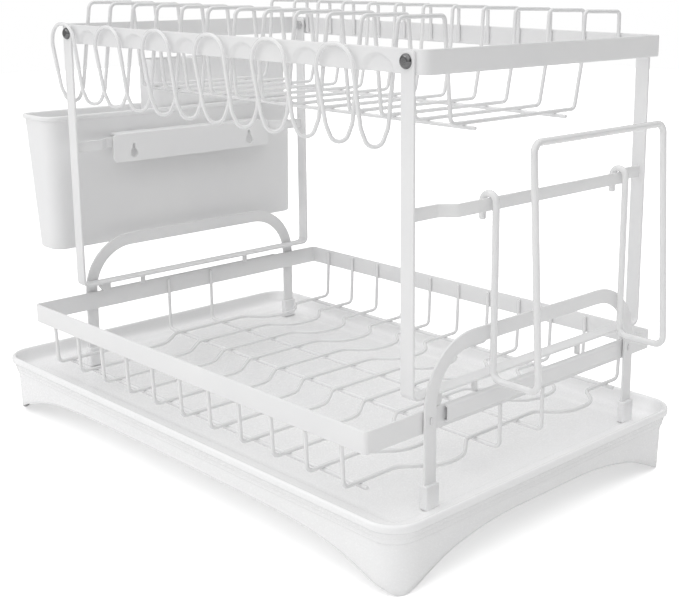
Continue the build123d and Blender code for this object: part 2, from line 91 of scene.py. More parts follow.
def bend_path(points, radii, closed=False):
    """Straight runs joined by arcs, as a list of points; radii is one value or one per corner."""
    points = [Vector(p) for p in points]
    count = len(points)
    corners = range(count) if closed else range(1, count - 1)
    path = [] if closed else [points[0]]
    for order, k in enumerate(corners):
        here, before, after = points[k], points[k - 1], points[(k + 1) % count]
        radius = radii[order] if isinstance(radii, tuple) else radii
        u, v = (before - here).normalized(), (after - here).normalized()
        turn = math.pi - u.angle(v)
        centre = here + (u + v).normalized() * (radius / math.cos(turn / 2))
        start = here + u * (radius * math.tan(turn / 2)) - centre
        end = here + v * (radius * math.tan(turn / 2)) - centre
        axis = start.cross(end).normalized()
        steps = max(2, math.ceil(turn / FINE_TURN))
        for step in range(steps + 1):
            path.append(centre + Matrix.Rotation(turn * step / steps, 3, axis) @ start)
    if not closed:
        path.append(points[-1])
    distinct = [path[0]]
    for point in path[1:]:
        if (point - distinct[-1]).length > 0.02:
            distinct.append(point)
    return distinct


def tangents(path, closed=False):
    """Unit directions of travel; a path's end has no step beyond it, unless the path is closed."""
    out = []
    last = len(path) - 1
    for k, here in enumerate(path):
        before = path[k - 1] if closed or k > 0 else here
        after = path[(k + 1) % len(path)] if closed or k < last else here
        out.append(((here - before).normalized() + (after - here).normalized()).normalized())
    return out


def loft(rings, closed=False):
    """A skin over rings of equally many points, capped at both ends unless it closes on itself."""
    count, size = len(rings), len(rings[0])
    verts = [point for ring in rings for point in ring]
    faces = []
    for k in range(count if closed else count - 1):
        here, there = k * size, (k + 1) % count * size
        for s in range(size):
            t = (s + 1) % size
            faces.append((here + s, here + t, there + t, there + s))
    if not closed:
        faces.append(tuple(reversed(range(size))))
        faces.append(tuple(range((count - 1) * size, count * size)))
    return verts, faces


def tube_mesh(path, radius=WIRE_R, sides=16):
    """A round wire with slightly rounded ends."""
    tangent = tangents(path)
    tip = min(0.5 * radius, 0.4 * (path[1] - path[0]).length)
    end_steps = ((0.0, 0.55), (0.3, 0.85), (1.0, 1.0))
    first, last = tangent[0], tangent[-1]
    stations = [(path[0] + first * tip * along, first, scale) for along, scale in end_steps]
    stations += [(path[k], tangent[k], 1.0) for k in range(1, len(path) - 1)]
    stations += [(path[-1] - last * tip * along, last, scale) for along, scale in end_steps[::-1]]
    normal = Vector((0, 0, 1)) if abs(first.z) < 0.9 else Vector((1, 0, 0))
    turns = [2 * math.pi * s / sides for s in range(sides)]
    rings = []
    for point, direction, scale in stations:
        normal = (normal - direction * normal.dot(direction)).normalized()
        side = direction.cross(normal)
        rings.append([point + (normal * math.cos(a) + side * math.sin(a)) * radius * scale for a in turns])
    return loft(rings)


def section(width, thick, round_r, rows=1):
    """Outline of a flat strip with rounded corners, its wide faces divided into rows."""
    half_w, half_t = width / 2 - round_r, thick / 2 - round_r
    outline = []
    for corner, (a, b) in enumerate(((1, 1), (-1, 1), (-1, -1), (1, -1))):
        for step in range(4):
            angle = math.pi / 2 * (corner + step / 3)
            outline.append((a * half_w + round_r * math.cos(angle), b * half_t + round_r * math.sin(angle)))
        if corner in (0, 2):
            outline += [(a * half_w * (1 - 2 * row / rows), b * thick / 2) for row in range(1, rows)]
    return outline


def strip_mesh(path, across, width, thick=STRIP_T, round_r=STRIP_EDGE, closed=False, widths=None, rows=1):
    """A flat strip bent over its face; across is the direction of its width, widths its shares of it."""
    across = Vector(across)
    outline = section(width, thick, round_r, rows)
    rings = []
    for k, (point, direction) in enumerate(zip(path, tangents(path, closed))):
        wide = (across - direction * across.dot(direction)).normalized()
        thin = direction.cross(wide).normalized()
        stretch = 1.0
        if closed or 0 < k < len(path) - 1:
            run = (path[(k + 1) % len(path)] - point).normalized()
            stretch = 1 / max(0.5, run.dot(direction))
        half = width / 2 * (widths[k] if widths else 1.0)
        rings.append([point + wide * max(-half, min(half, a)) + thin * b * stretch for a, b in outline])
    return loft(rings, closed)


def edgewise_strip_mesh(path, through, width):
    """A flat strip bent in its own plane; through is the direction of its thickness."""
    through = Vector(through)
    outline = section(width, STRIP_T, STRIP_EDGE)
    rings = []
    for point, direction in zip(path, tangents(path)):
        wide = direction.cross(through).normalized()
        rings.append([point + wide * a + through * b for a, b in outline])
    return loft(rings)


def rounded_ring(centre, half, radius, z, along_x, along_y, corner):
    """Points round a rounded rectangle, with so many steps along its sides and round a corner."""
    arcs = []
    for quarter, (side_x, side_y) in enumerate(((1, 1), (-1, 1), (-1, -1), (1, -1))):
        x = centre[0] + side_x * (half[0] - radius)
        y = centre[1] + side_y * (half[1] - radius)
        angles = [math.pi / 2 * (quarter + step / corner) for step in range(corner + 1)]
        arcs.append([Vector((x + radius * math.cos(a), y + radius * math.sin(a), z)) for a in angles])
    ring = []
    for quarter, arc in enumerate(arcs):
        start, end = arc[-1], arcs[(quarter + 1) % 4][0]
        steps = (along_x, along_y)[quarter % 2]
        ring += arc + [start.lerp(end, step / steps) for step in range(1, steps)]
    return ring


def arc_points(x, y, radius, start, end, steps=8):
    """Points of an arc in a plate's plane, from one angle in degrees to another."""
    angles = [math.radians(start + (end - start) * s / steps) for s in range(steps + 1)]
    return [(x + radius * math.cos(a), y + radius * math.sin(a)) for a in angles]


def rounded_outline(low, high, radius, steps=8):
    """A rounded rectangle in a plate's plane, between two opposite corners."""
    left, right = low[0] + radius, high[0] - radius
    bottom, top = low[1] + radius, high[1] - radius
    out = []
    for quarter, (x, y) in enumerate(((right, top), (left, top), (left, bottom), (right, bottom))):
        out += arc_points(x, y, radius, 90 * quarter, 90 * (quarter + 1), steps)
    return out


def flat_plate(name, outlines, thick, edge, matrix):
    """A plate with softened edges; the first outline is its own and the others are its holes."""
    curve = bpy.data.curves.new(name, "CURVE")
    curve.dimensions = "2D"
    curve.fill_mode = "BOTH"
    curve.extrude = (thick / 2 - edge) * MM
    curve.bevel_depth = edge * MM
    curve.bevel_resolution = 2
    curve.offset = -edge * MM
    for outline in outlines:
        spline = curve.splines.new("POLY")
        spline.points.add(len(outline) - 1)
        for point, (a, b) in zip(spline.points, outline):
            point.co = (a * MM, b * MM, 0, 1)
        spline.use_cyclic_u = True
    holder = add_object(name + "_outline", curve)
    bpy.context.view_layer.update()
    mesh = bpy.data.meshes.new_from_object(holder.evaluated_get(bpy.context.evaluated_depsgraph_get()))
    bpy.data.objects.remove(holder)
    bpy.data.curves.remove(curve)
    mesh.name = name
    mesh.transform(matrix)
    shade_smooth(mesh)
    return add_object(name, mesh)


# ------------------------------------------------------------------ materials
COAT_ROUGHNESS = 0.12


def node_material(name):
    material = bpy.data.materials.new(name)
    material.use_nodes = True
    tree = material.node_tree
    return material, tree, tree.nodes["Principled BSDF"].inputs


def object_space(tree):
    coords = tree.nodes.new("ShaderNodeTexCoord")
    return coords.outputs["Object"]


def noise(tree, vector, scale, detail=2.0):
    node = tree.nodes.new("ShaderNodeTexNoise")
    node.inputs["Scale"].default_value = scale
    node.inputs["Detail"].default_value = detail
    tree.links.new(vector, node.inputs["Vector"])
    return node.outputs["Fac"]


def ramp(tree, factor, low, high, start=0.0, end=1.0, interpolation="LINEAR"):
    """Maps start to end of a factor onto low to high."""
    node = tree.nodes.new("ShaderNodeMapRange")
    node.interpolation_type = interpolation
    node.inputs["From Min"].default_value = start
    node.inputs["From Max"].default_value = end
    node.inputs["To Min"].default_value = low
    node.inputs["To Max"].default_value = high
    tree.links.new(factor, node.inputs["Value"])
    return node.outputs["Result"]


def tint(tree, factor, low, high):
    node = tree.nodes.new("ShaderNodeMix")
    node.data_type = "RGBA"
    node.inputs["A"].default_value = (*low, 1)
    node.inputs["B"].default_value = (*high, 1)
    tree.links.new(factor, node.inputs["Factor"])
    return node.outputs["Result"]


def bump(tree, height, strength, distance, previous=None):
    node = tree.nodes.new("ShaderNodeBump")
    node.inputs["Strength"].default_value = strength
    node.inputs["Distance"].default_value = distance
    tree.links.new(height, node.inputs["Height"])
    if previous is not None:
        tree.links.new(previous, node.inputs["Normal"])
    return node.outputs["Normal"]


def coated(name, low, high, rough, grain_scale, grain, coat=0.0, wave=0.0):
    """White coating or plastic: slight mottling, fine grain and, with a wave, orange peel."""
    material, tree, shader = node_material(name)
    space = object_space(tree)
    mottle = ramp(tree, noise(tree, space, 14.0, 3.0), 0, 1, 0.35, 0.65)
    fine = noise(tree, space, grain_scale)
    tree.links.new(tint(tree, mottle, low, high), shader["Base Color"])
    tree.links.new(ramp(tree, fine, rough * 0.85, rough * 1.15, 0.3, 0.7), shader["Roughness"])
    normal = bump(tree, fine, grain, 0.00012)
    if wave:
        normal = bump(tree, noise(tree, space, 160.0, 1.0), wave, 0.0004, normal)
    tree.links.new(normal, shader["Normal"])
    shader["Coat Weight"].default_value = coat
    shader["Coat Roughness"].default_value = COAT_ROUGHNESS
    return material


def speckled(name, low, high, rough, grain_scale, detail, grain):
    """A material whose colour, roughness and bumps all follow one fine noise."""
    material, tree, shader = node_material(name)
    fine = noise(tree, object_space(tree), grain_scale, detail)
    tree.links.new(tint(tree, fine, low, high), shader["Base Color"])
    tree.links.new(ramp(tree, fine, *rough), shader["Roughness"])
    tree.links.new(bump(tree, fine, grain, 0.0001), shader["Normal"])
    return material, shader


def translucent_plastic():
    material, shader = speckled(
        "cap_translucent_plastic", (0.86, 0.86, 0.87), (0.90, 0.90, 0.90), (0.22, 0.34), 1800, 2.0, 0.1
    )
    shader["Subsurface Weight"].default_value = 0.35
    shader["Subsurface Radius"].default_value = (0.004, 0.004, 0.004)
    return material


def metal(name, low, high, rough):
    material, shader = speckled(name, low, high, rough, 900, 3.0, 0.05)
    shader["Metallic"].default_value = 1.0
    return material


COAT_LOW, COAT_HIGH = (0.83, 0.83, 0.835), (0.86, 0.86, 0.86)
HOLDER_LOW, HOLDER_HIGH = (0.82, 0.82, 0.825), (0.85, 0.85, 0.85)
TRAY_LOW, TRAY_HIGH = (0.92, 0.92, 0.925), (0.94, 0.94, 0.94)
BIN_LOW, BIN_HIGH = (0.88, 0.88, 0.885), (0.90, 0.90, 0.90)
CLIP_LOW, CLIP_HIGH = (0.82, 0.82, 0.82), (0.85, 0.85, 0.85)
strip_coat = coated(
    "strip_powder_coat", COAT_LOW, COAT_HIGH, rough=0.36, grain_scale=2600, grain=0.22, coat=0.4, wave=0.12
)
wire_coat = coated(
    "wire_powder_coat", COAT_LOW, COAT_HIGH, rough=0.25, grain_scale=2600, grain=0.12, coat=0.5, wave=0.08
)
holder_coat = coated(
    "holder_gloss_coat", HOLDER_LOW, HOLDER_HIGH,
    rough=0.18, grain_scale=2200, grain=0.06, coat=0.8, wave=0.05,
)
tray_plastic = coated(
    "tray_gloss_plastic", TRAY_LOW, TRAY_HIGH, rough=0.26, grain_scale=1500, grain=0.05, coat=0.35, wave=0.05
)
bin_plastic = coated("bin_matt_plastic", BIN_LOW, BIN_HIGH, rough=0.46, grain_scale=3200, grain=0.25)
clip_plastic = coated("clip_plastic", CLIP_LOW, CLIP_HIGH, rough=0.4, grain_scale=2800, grain=0.15)
cap_plastic = translucent_plastic()
bright_steel = metal("bright_steel", (0.62, 0.62, 0.63), (0.72, 0.72, 0.72), rough=(0.06, 0.16))
# Chrome for the dome screws, its base colour darkened to paint in the dark reflections of its surroundings:
# painted reflection.
chrome_painted_dark_reflection = metal("chrome_painted_dark_reflection", (0.16, 0.16, 0.165), (0.24, 0.24, 0.24), rough=(0.04, 0.12))

# ------------------------------------------------------------------ drip tray
TRAY_MIDDLE = (-13.0, -2.7)
TRAY_HALF_L, TRAY_HALF_W = 254.5, 161.0
LIP_R, LEAST_R, R_LOSS = 24.5, 8.0, 0.9
SKIRT_L, SKIRT_W, SKIRT_R, SKIRT_TOP = 248.5, 156.1, 22.0, 37.0
SKIRT_LEAN_X, SKIRT_LEAN_Y, SKIRT_LIFT = 1.4, 0.4, 0.6
# an arch's edge: distance from the middle of the side, height
FRONT_ARCH = (
    (0, 26.0), (60, 25.8), (135, 24.8), (172, 22.2), (200, 17.0), (222, 10.0), (236, 4.2), (242.5, 0.0),
)
SIDE_ARCH = ((0, 26.0), (50, 25.6), (75, 23.0), (104, 17.0), (122, 9.8), (135, 3.8), (143, 0.0))
# rows round the skirt's lower edge: half length, half width, corner radius, lift, share of the way up
EDGE_ROWS = (
    (246.1, 153.8, 19.6, 0.0, 0.9), (246.1, 153.8, 19.6, 0.4, 0.3), (246.1, 153.8, 19.6, 0.5, 0.0),
    (246.7, 154.4, 20.2, 0.1, 0.0), (247.9, 155.6, 21.4, 0.0, 0.0), (248.5, 156.1, 22.0, 0.6, 0.0),
)
# rows up the band and lip and down to the floor: height, inset from the lip along X and along Y
WALL_ROWS = (
    (37.4, 4.6, 4.5), (37.9, 3.8, 3.7), (38.5, 3.5, 3.5), (41.2, 3.4, 3.4), (41.7, 3.0, 3.1),
    (42.2, 2.6, 2.8), (45.4, 2.5, 2.7), (45.9, 2.1, 2.3), (46.2, 0.9, 1.0), (46.8, 0.2, 0.3),
    (48.0, 0.0, 0.0), (50.2, 0.0, 0.0), (51.3, 0.4, 0.4), (52.0, 1.3, 1.3), (52.2, 2.1, 2.1),
    (52.0, 2.9, 2.9), (51.2, 3.6, 3.6), (49.5, 4.2, 4.2), (45.0, 5.9, 5.9), (42.4, 7.5, 7.5),
    (41.0, 9.5, 9.5), (40.3, 12.5, 12.5), (40.0, 18.5, 18.5), (40.0, 25.5, 25.5), (39.7, 27.0, 27.0),
    (39.3, 28.5, 28.5), (39.2, 32.5, 32.5), (39.0, 104.5, 101.0),
)


def arch_height(distance, profile):
    """Height of an arch's edge, on a smooth curve through the points of its profile."""
    distance = abs(distance)
    slopes = [(b[1] - a[1]) / (b[0] - a[0]) for a, b in zip(profile, profile[1:])]
    ends = [0.0] + [(m + n) / 2 for m, n in zip(slopes, slopes[1:])] + [slopes[-1]]
    for k, (a, b) in enumerate(zip(profile, profile[1:])):
        if distance < b[0]:
            span = b[0] - a[0]
            t = (distance - a[0]) / span
            rise = (3 - 2 * t) * t * t
            leave, arrive = t * (1 - t) ** 2, -t * t * (1 - t)
            return a[1] + (b[1] - a[1]) * rise + span * (leave * ends[k] + arrive * ends[k + 1])
    return 0.0


def tray_ring(half_x, half_y, radius, z):
    return rounded_ring(TRAY_MIDDLE, (half_x, half_y), radius, z, along_x=96, along_y=64, corner=14)


def skirt_ring(half_x, half_y, radius, lift, share):
    """One row of the skirt, share of the way from its arched lower edge up to the band."""
    ring = tray_ring(half_x, half_y, radius, 0)
    for point in ring:
        front = arch_height(point.x - TRAY_MIDDLE[0], FRONT_ARCH)
        side = arch_height(point.y - TRAY_MIDDLE[1], SIDE_ARCH)
        low = max(0.0, front, side) + lift
        point.z = low + (SKIRT_TOP - low) * share
    return ring


def build_tray():
    rings = [skirt_ring(*row) for row in EDGE_ROWS]
    for share in (0.15, 0.35, 0.55, 0.75, 0.92):
        half_x, half_y = SKIRT_L + SKIRT_LEAN_X * share, SKIRT_W + SKIRT_LEAN_Y * share
        rings.append(skirt_ring(half_x, half_y, SKIRT_R, SKIRT_LIFT, share))
    for z, inset_x, inset_y in WALL_ROWS:
        radius = max(LEAST_R, LIP_R - R_LOSS * inset_x)
        rings.append(tray_ring(TRAY_HALF_L - inset_x, TRAY_HALF_W - inset_y, radius, z))
    tray = make_mesh("drip_tray_shell", *loft(rings))
    place(tray, "tray", tray_plastic, ("drip_tray",))


build_tray()

# ------------------------------------------------------------------ strips
RIM_L, RIM_W, RIM_Z, RIM_H = 420.0, 316.6, 92.8, 15.8
RIM_BEND, UP_BEND = 2.4, 6.0
UP_X, UP_FRONT, UP_BACK, UP_Z, UP_H = 218.0, -114.5, 144.5, 330.5, 16.0
UP_FRONT_STEPS, UP_ROWS = 280, 20
EMBOSS_X = (-175.0, -105.0, -35.0, 35.0, 105.0, 175.0)
EMBOSS_HALF_W, EMBOSS_H, EMBOSS_FOOT_Z, EMBOSS_D = 15.5, 13.0, 330.0, 2.6

POST_X, POST_W, POST_CORNER, POST_BEND = 204.3, 12.0, 4.0, 5.0
POST_FRONT, POST_BACK, POST_TOP, BOTTOM_RUN_Z = -116.5, 140.5, 346.5, 116.7
POST_END_STEPS = (0.0, 0.25, 0.7, 1.4, 2.4, 3.6, 5.0)

LEG_X, LEG_W, LEG_FOOT_Z, LEG_BEND = 212.0, 11.0, 41.6, 42.5
LEG_FRONT, LEG_BACK, LEG_TOP = -102.0, 124.0, 151.0

BAR_IN, BAR_OUT, BAR_Z, BAR_H, BAR_BEND = 205.0, 214.0, 241.0, 9.0, 4.0
BAR_JOG = (-89.0, -79.0, 104.0, 114.0)

CHAN_FRONT, CHAN_BACK, CHAN_END_STEP = -86.5, 106.5, 0.4
CHAN_Z, CHAN_H, CHAN_IN, CHAN_OUT, CHAN_T = 96.6, 12.0, 0.2, 4.0, 1.1
CHAN_BEND, CHAN_INNER_BEND, CHAN_SHARP = 1.9, 0.9, 40


def build_lower_rim():
    x, y, z = (RIM_L - STRIP_T) / 2, (RIM_W - STRIP_T) / 2, RIM_Z + RIM_H / 2
    path = bend_path([(x, -y, z), (x, y, z), (-x, y, z), (-x, -y, z)], RIM_BEND, closed=True)
    strip = strip_mesh(path, (0, 0, 1), RIM_H, round_r=RIM_EDGE, closed=True, rows=2)
    rim = make_mesh("lower_rim_strip", *strip)
    place(rim, "rack", strip_coat, ("lower_rim",), STRIP_SHARP)


def build_upper_rim():
    """The rim, with its front run finely divided and dished inwards at each embossment."""
    half_t = STRIP_T / 2
    front, back = UP_FRONT + half_t, UP_BACK - half_t
    x, z = UP_X - half_t, UP_Z + UP_H / 2
    corners = bend_path([(x, back, z), (-x, back, z), (-x, front, z), (x, front, z)], UP_BEND, closed=True)
    path = []
    for point, following in zip(corners, corners[1:] + corners[:1]):
        path.append(point)
        if abs(following.x - point.x) > UP_X and point.y < 0:
            path += [point.lerp(following, s / UP_FRONT_STEPS) for s in range(1, UP_FRONT_STEPS)]
    verts, faces = strip_mesh(path, (0, 0, 1), UP_H, round_r=RIM_EDGE, closed=True, rows=UP_ROWS)
    for vertex in verts:
        if vertex.y < UP_FRONT + STRIP_T + 0.5:
            for centre in EMBOSS_X:
                across, up = (vertex.x - centre) / EMBOSS_HALF_W, (vertex.z - EMBOSS_FOOT_Z) / EMBOSS_H
                vertex.y += EMBOSS_D * (1 - smoothstep(0.8, 1.0, math.hypot(across, up)))
    rim = make_mesh("upper_rim_strip", verts, faces)
    place(rim, "rack", strip_coat, ("upper_rim",), STRIP_SHARP)


def post_share(drop):
    """Share of a post's full width at a drop below its round-cornered top."""
    inward = POST_CORNER - min(drop, POST_CORNER)
    loss = POST_CORNER - math.sqrt(POST_CORNER**2 - inward**2)
    return 1 - 2 * loss / POST_W


def build_side_frame(side, sign):
    x, bottom = sign * POST_X, BOTTOM_RUN_Z + STRIP_T / 2
    front, back = POST_FRONT + STRIP_T / 2, POST_BACK - STRIP_T / 2
    line = ((front, POST_TOP), (front, bottom), (back, bottom), (back, POST_TOP))
    path = bend_path([(x, y, z) for y, z in line], POST_BEND)
    first = [path[0] - Vector((0, 0, drop)) for drop in POST_END_STEPS]
    last = [path[-1] - Vector((0, 0, drop)) for drop in POST_END_STEPS[::-1]]
    shares = [post_share(drop) for drop in POST_END_STEPS]
    widths = shares + [1.0] * (len(path) - 2) + shares[::-1]
    strip = strip_mesh(first + path[1:-1] + last, (1, 0, 0), POST_W, widths=widths)
    side_frame = make_mesh(side + "_frame_strip", *strip)
    place(side_frame, "rack", strip_coat, (side + "_side_frame",), STRIP_SHARP)


def build_arch_leg(side, sign):
    line = ((LEG_FRONT, LEG_FOOT_Z), (LEG_FRONT, LEG_TOP), (LEG_BACK, LEG_TOP), (LEG_BACK, LEG_FOOT_Z))
    path = bend_path([(sign * LEG_X, y, z) for y, z in line], LEG_BEND)
    leg = make_mesh(side + "_arch_leg_strip", *edgewise_strip_mesh(path, (1, 0, 0), LEG_W))
    place(leg, "rack", strip_coat, (side + "_arch_leg",), STRIP_SHARP)


def build_hanger_bar(side, sign):
    """The bar between a frame's posts, which steps outwards between its jogs."""
    near, far = sign * BAR_IN, sign * BAR_OUT
    front_near, front_far, back_far, back_near = BAR_JOG
    path = bend_path([
        (near, POST_FRONT + STRIP_T, BAR_Z), (near, front_near, BAR_Z), (far, front_far, BAR_Z),
        (far, back_far, BAR_Z), (near, back_near, BAR_Z), (near, POST_BACK - STRIP_T, BAR_Z),
    ], BAR_BEND)
    bar = make_mesh(side + "_bar_strip", *strip_mesh(path, (0, 0, 1), BAR_H))
    place(bar, "rack", strip_coat, (side + "_hanger_bar",), STRIP_SHARP)


def build_channel(side, sign):
    """A bent sheet channel outside the lower rim, open towards it."""
    low, high, out, inner_out = CHAN_Z, CHAN_Z + CHAN_H, CHAN_OUT, CHAN_OUT - CHAN_T
    outer = bend_path([(CHAN_IN, 0, low), (out, 0, low), (out, 0, high), (CHAN_IN, 0, high)], CHAN_BEND)
    low, high = low + CHAN_T, high - CHAN_T
    inner_corners = [(CHAN_IN, 0, low), (inner_out, 0, low), (inner_out, 0, high), (CHAN_IN, 0, high)]
    outline = outer + bend_path(inner_corners, CHAN_INNER_BEND)[::-1]
    rings = []
    for y in (CHAN_FRONT, CHAN_FRONT + CHAN_END_STEP, CHAN_BACK - CHAN_END_STEP, CHAN_BACK):
        rings.append([Vector((sign * (RIM_L / 2 + p.x), y, p.z)) for p in outline])
    channel = make_mesh(side + "_channel_sheet", *loft(rings))
    place(channel, "rack", strip_coat, (side + "_side_channel",), CHAN_SHARP)


build_lower_rim()
build_upper_rim()
for side, sign in SIDES:
    build_side_frame(side, sign)
    build_arch_leg(side, sign)
    build_hanger_bar(side, sign)
    build_channel(side, sign)

# ------------------------------------------------------------------ wires
LOW_COUNT, LOW_PITCH, LOW_Z = 11, 36.6, 61.0
LOW_LEG_Y = RIM_W / 2 - STRIP_T - WIRE_R
LOW_FLOOR_Y = LOW_LEG_Y - 1.4
LOW_TOP_Z, LOW_KNEE_Z = RIM_Z + RIM_H - 1.6, RIM_Z - 2.0
BULGE = 20.4
# where each sideways wave leaves the line, starts and ends its crest, and settles back
BULGES = ((-104.5, -80.0, -58.0, -33.7), (44.6, 62.0, 92.5, 110.0))
LOW_BENDS = (8, 5, 11, 24, 24, 11, 11, 24, 24, 11, 5, 8)

CROSS_Z, CROSS_BEND = LOW_Z - 2 * WIRE_R, 5.0
CROSS_LEG_X = RIM_L / 2 - STRIP_T - WIRE_R
LONG_CROSS_Y = 24.0
SHORT_CROSS_Y, SHORT_CROSS_X = 138.5, 190.0

UP_COUNT, UP_FLOOR_Z = 12, 291.5
UP_CROSS_X, UP_CROSS_Y = (-205.0, 190.0), (-36.0, 64.0)
PLATE_X, PLATE_PITCH = -7.4, 34.0
TROUGH_X, TROUGH_PITCH, TROUGH_REACH = -16.3, 34.4, 9.5
TROUGH_BACK, TROUGH_TOP_Z, TROUGH_Z = -102.5, 293.0, 269.4
LOOP_X, LOOP_PITCH, LOOP_W = -39.0, 34.7, 38.0
LOOP_Y, LOOP_TOP = POST_FRONT - WIRE_R, 346.6
HUMP_TOP_Z, HUMP_FRONT, HUMP_SHIFT = 364.5, -98.0, 2.0
# an upper wire from its back end, over the back support and along the floor to the front hump: y, z
CRADLE_LINE = (
    (141.0, 332.0), (141.0, 363.0), (97.0, 364.0), (94.0, 324.0), (87.0, UP_FLOOR_Z),
    (-50.0, UP_FLOOR_Z), (-57.0, HUMP_TOP_Z),
)
UP_BENDS = (3.5, 3.5, 20.0, 5.0, 5.0, 3.5, 5.0, 14.0, 6.5, 14.0, 16.0)


def place_wire(name, path, node):
    place(make_mesh(name, *tube_mesh(path)), "rack", wire_coat, (node,), WIRE_SHARP)


def basket_wire_path(x):
    """A lower wire: down inside the rim, along the floor with two sideways waves, and up again."""
    points = [(x, -LOW_LEG_Y, LOW_TOP_Z), (x, -LOW_LEG_Y, LOW_KNEE_Z), (x, -LOW_FLOOR_Y, LOW_Z)]
    for leave, crest_start, crest_end, settle in BULGES:
        points += [(x, leave, LOW_Z), (x + BULGE, crest_start, LOW_Z)]
        points += [(x + BULGE, crest_end, LOW_Z), (x, settle, LOW_Z)]
    points += [(x, LOW_FLOOR_Y, LOW_Z), (x, LOW_LEG_Y, LOW_KNEE_Z), (x, LOW_LEG_Y, LOW_TOP_Z)]
    return bend_path(points, LOW_BENDS)


def cradle_points(index):
    """An upper wire from its back end over the plate floor, through its front trough to its loop."""
    x = PLATE_X + PLATE_PITCH * (index - (UP_COUNT - 1) / 2)
    trough = TROUGH_X + TROUGH_PITCH * (index - (UP_COUNT - 1) / 2)
    pair, half = divmod(index, 2)
    loop = LOOP_X + LOOP_PITCH * (2 * pair - (UP_COUNT - 2) / 2) + LOOP_W * (half - 0.5)
    return [(x, y, z) for y, z in CRADLE_LINE] + [
        (x - HUMP_SHIFT, HUMP_FRONT, HUMP_TOP_Z), (trough, TROUGH_BACK, TROUGH_TOP_Z),
        (trough - TROUGH_REACH / 2, (TROUGH_BACK + LOOP_Y) / 2, TROUGH_Z),
        (trough - TROUGH_REACH, LOOP_Y, TROUGH_TOP_Z), (loop, LOOP_Y, LOOP_TOP),
    ]


def build_wires():
    for index in range(LOW_COUNT):
        x = (index - (LOW_COUNT - 1) / 2) * LOW_PITCH
        place_wire("basket_wire_%02d" % (index + 1), basket_wire_path(x), "lower_wire_%02d" % (index + 1))
    for word, sign in (("front", -1), ("back", 1)):
        y, x, top = sign * LONG_CROSS_Y, CROSS_LEG_X, LOW_TOP_Z
        path = bend_path([(-x, y, top), (-x, y, CROSS_Z), (x, y, CROSS_Z), (x, y, top)], CROSS_BEND)
        place_wire("long_cross_wire_" + word, path, "lower_long_cross_wire_" + word)
    for word, sign in (("front", -1), ("back", 1)):
        path = [Vector((x, sign * SHORT_CROSS_Y, CROSS_Z)) for x in (-SHORT_CROSS_X, SHORT_CROSS_X)]
        place_wire("short_cross_wire_" + word, path, "lower_short_cross_wire_" + word)
    for word, y in zip(("front", "back"), UP_CROSS_Y):
        path = [Vector((x, y, UP_FLOOR_Z - 2 * WIRE_R)) for x in UP_CROSS_X]
        place_wire("cradle_cross_wire_" + word, path, "upper_cross_wire_" + word)
    for pair in range(UP_COUNT // 2):
        points = cradle_points(2 * pair) + cradle_points(2 * pair + 1)[::-1]
        path = bend_path(points, UP_BENDS + UP_BENDS[::-1])
        place_wire("cradle_wire_pair_%d" % (pair + 1), path, "upper_wire_pair_%d" % (pair + 1))


build_wires()

# ------------------------------------------------------------------ board holder
HOOK_X, HOOK_HALF, HOOK_TOP, HOOK_TAIL_Z = 214.0, 6.0, 248.4, 230.0
HOOK_FRONT, HOOK_BACK = -48.0, 100.0
HOLDER_X, HOLDER_Z, HOLDER_TOP_X, HOLDER_TOP_Z = 260.0, 119.0, 251.0, 286.0
HOLDER_R, HOLDER_BEND = 2.5, 7.0


def build_holder():
    """One wire: hook, leg and outer loop at the front, and the same mirrored at the back."""
    near, far = HOOK_X - HOOK_HALF, HOOK_X + HOOK_HALF
    line = [
        (near, HOOK_TAIL_Z), (near, HOOK_TOP), (far, HOOK_TOP),
        (far, HOLDER_Z), (HOLDER_X, HOLDER_Z), (HOLDER_TOP_X, HOLDER_TOP_Z),
    ]
    points = [(x, HOOK_FRONT, z) for x, z in line] + [(x, HOOK_BACK, z) for x, z in line[::-1]]
    hook_bends = (HOOK_HALF - 0.01,) * 2
    path = bend_path(points, hook_bends + (HOLDER_BEND,) * 6 + hook_bends)
    holder = make_mesh("board_holder_wire", *tube_mesh(path, HOLDER_R, sides=24))
    place(holder, "holder", holder_coat, ("board_holder",), WIRE_SHARP)


build_holder()

# ------------------------------------------------------------------ utensil bin
BIN_IN, BIN_OUT_TOP, BIN_OUT_BOTTOM = -228.0, -275.5, -263.0
BIN_FRONT, BIN_BACK, BIN_END_TAPER = -127.0, 148.0, 2.0
BIN_BOTTOM, BIN_TOP, BIN_R, BIN_WALL = 146.5, 266.0, 12.0, 2.0
# rows of the round bottom edge, outside and then inside: height, growth, corner radius
BIN_BASE_ROWS = ((146.5, -5.0, 7.5), (146.6, -1.8, 10.5), (147.2, -0.5, 11.6), (148.6, 0.0, 12.0))
BIN_FLOOR_ROWS = ((149.2, -2.8, 9.2), (148.6, -5.0, 7.5))
# rows over the rolled lip: height, growth
BIN_LIP_ROWS = (
    (261.6, 0.2), (262.2, 0.9), (262.4, 1.8), (263.0, 2.2), (264.8, 2.2),
    (265.6, 1.9), (266.0, 1.2), (266.0, -0.6), (265.6, -1.5), (264.8, -2.0),
)
HANGER_FRONT, HANGER_BACK, HANGER_BOTTOM, HANGER_TOP = -73.0, 102.0, 222.0, 247.4
HANGER_X, HANGER_T, HANGER_R, HANGER_EDGE = -211.3, 1.8, 4.0, 0.35
KEYHOLE_Y, KEYHOLE_Z, KEYHOLE_R, KEYSLOT_R, KEYSLOT_RISE = (-52.0, 78.0), 229.5, 4.0, 1.5, 7.5
WEB_START, WEB_END, WEB_W, WEB_EDGE = -212.0, -228.2, 159.0, 0.4
TO_YZ = Matrix(((0, 0, 1, 0), (1, 0, 0, 0), (0, 1, 0, 0), (0, 0, 0, 1)))


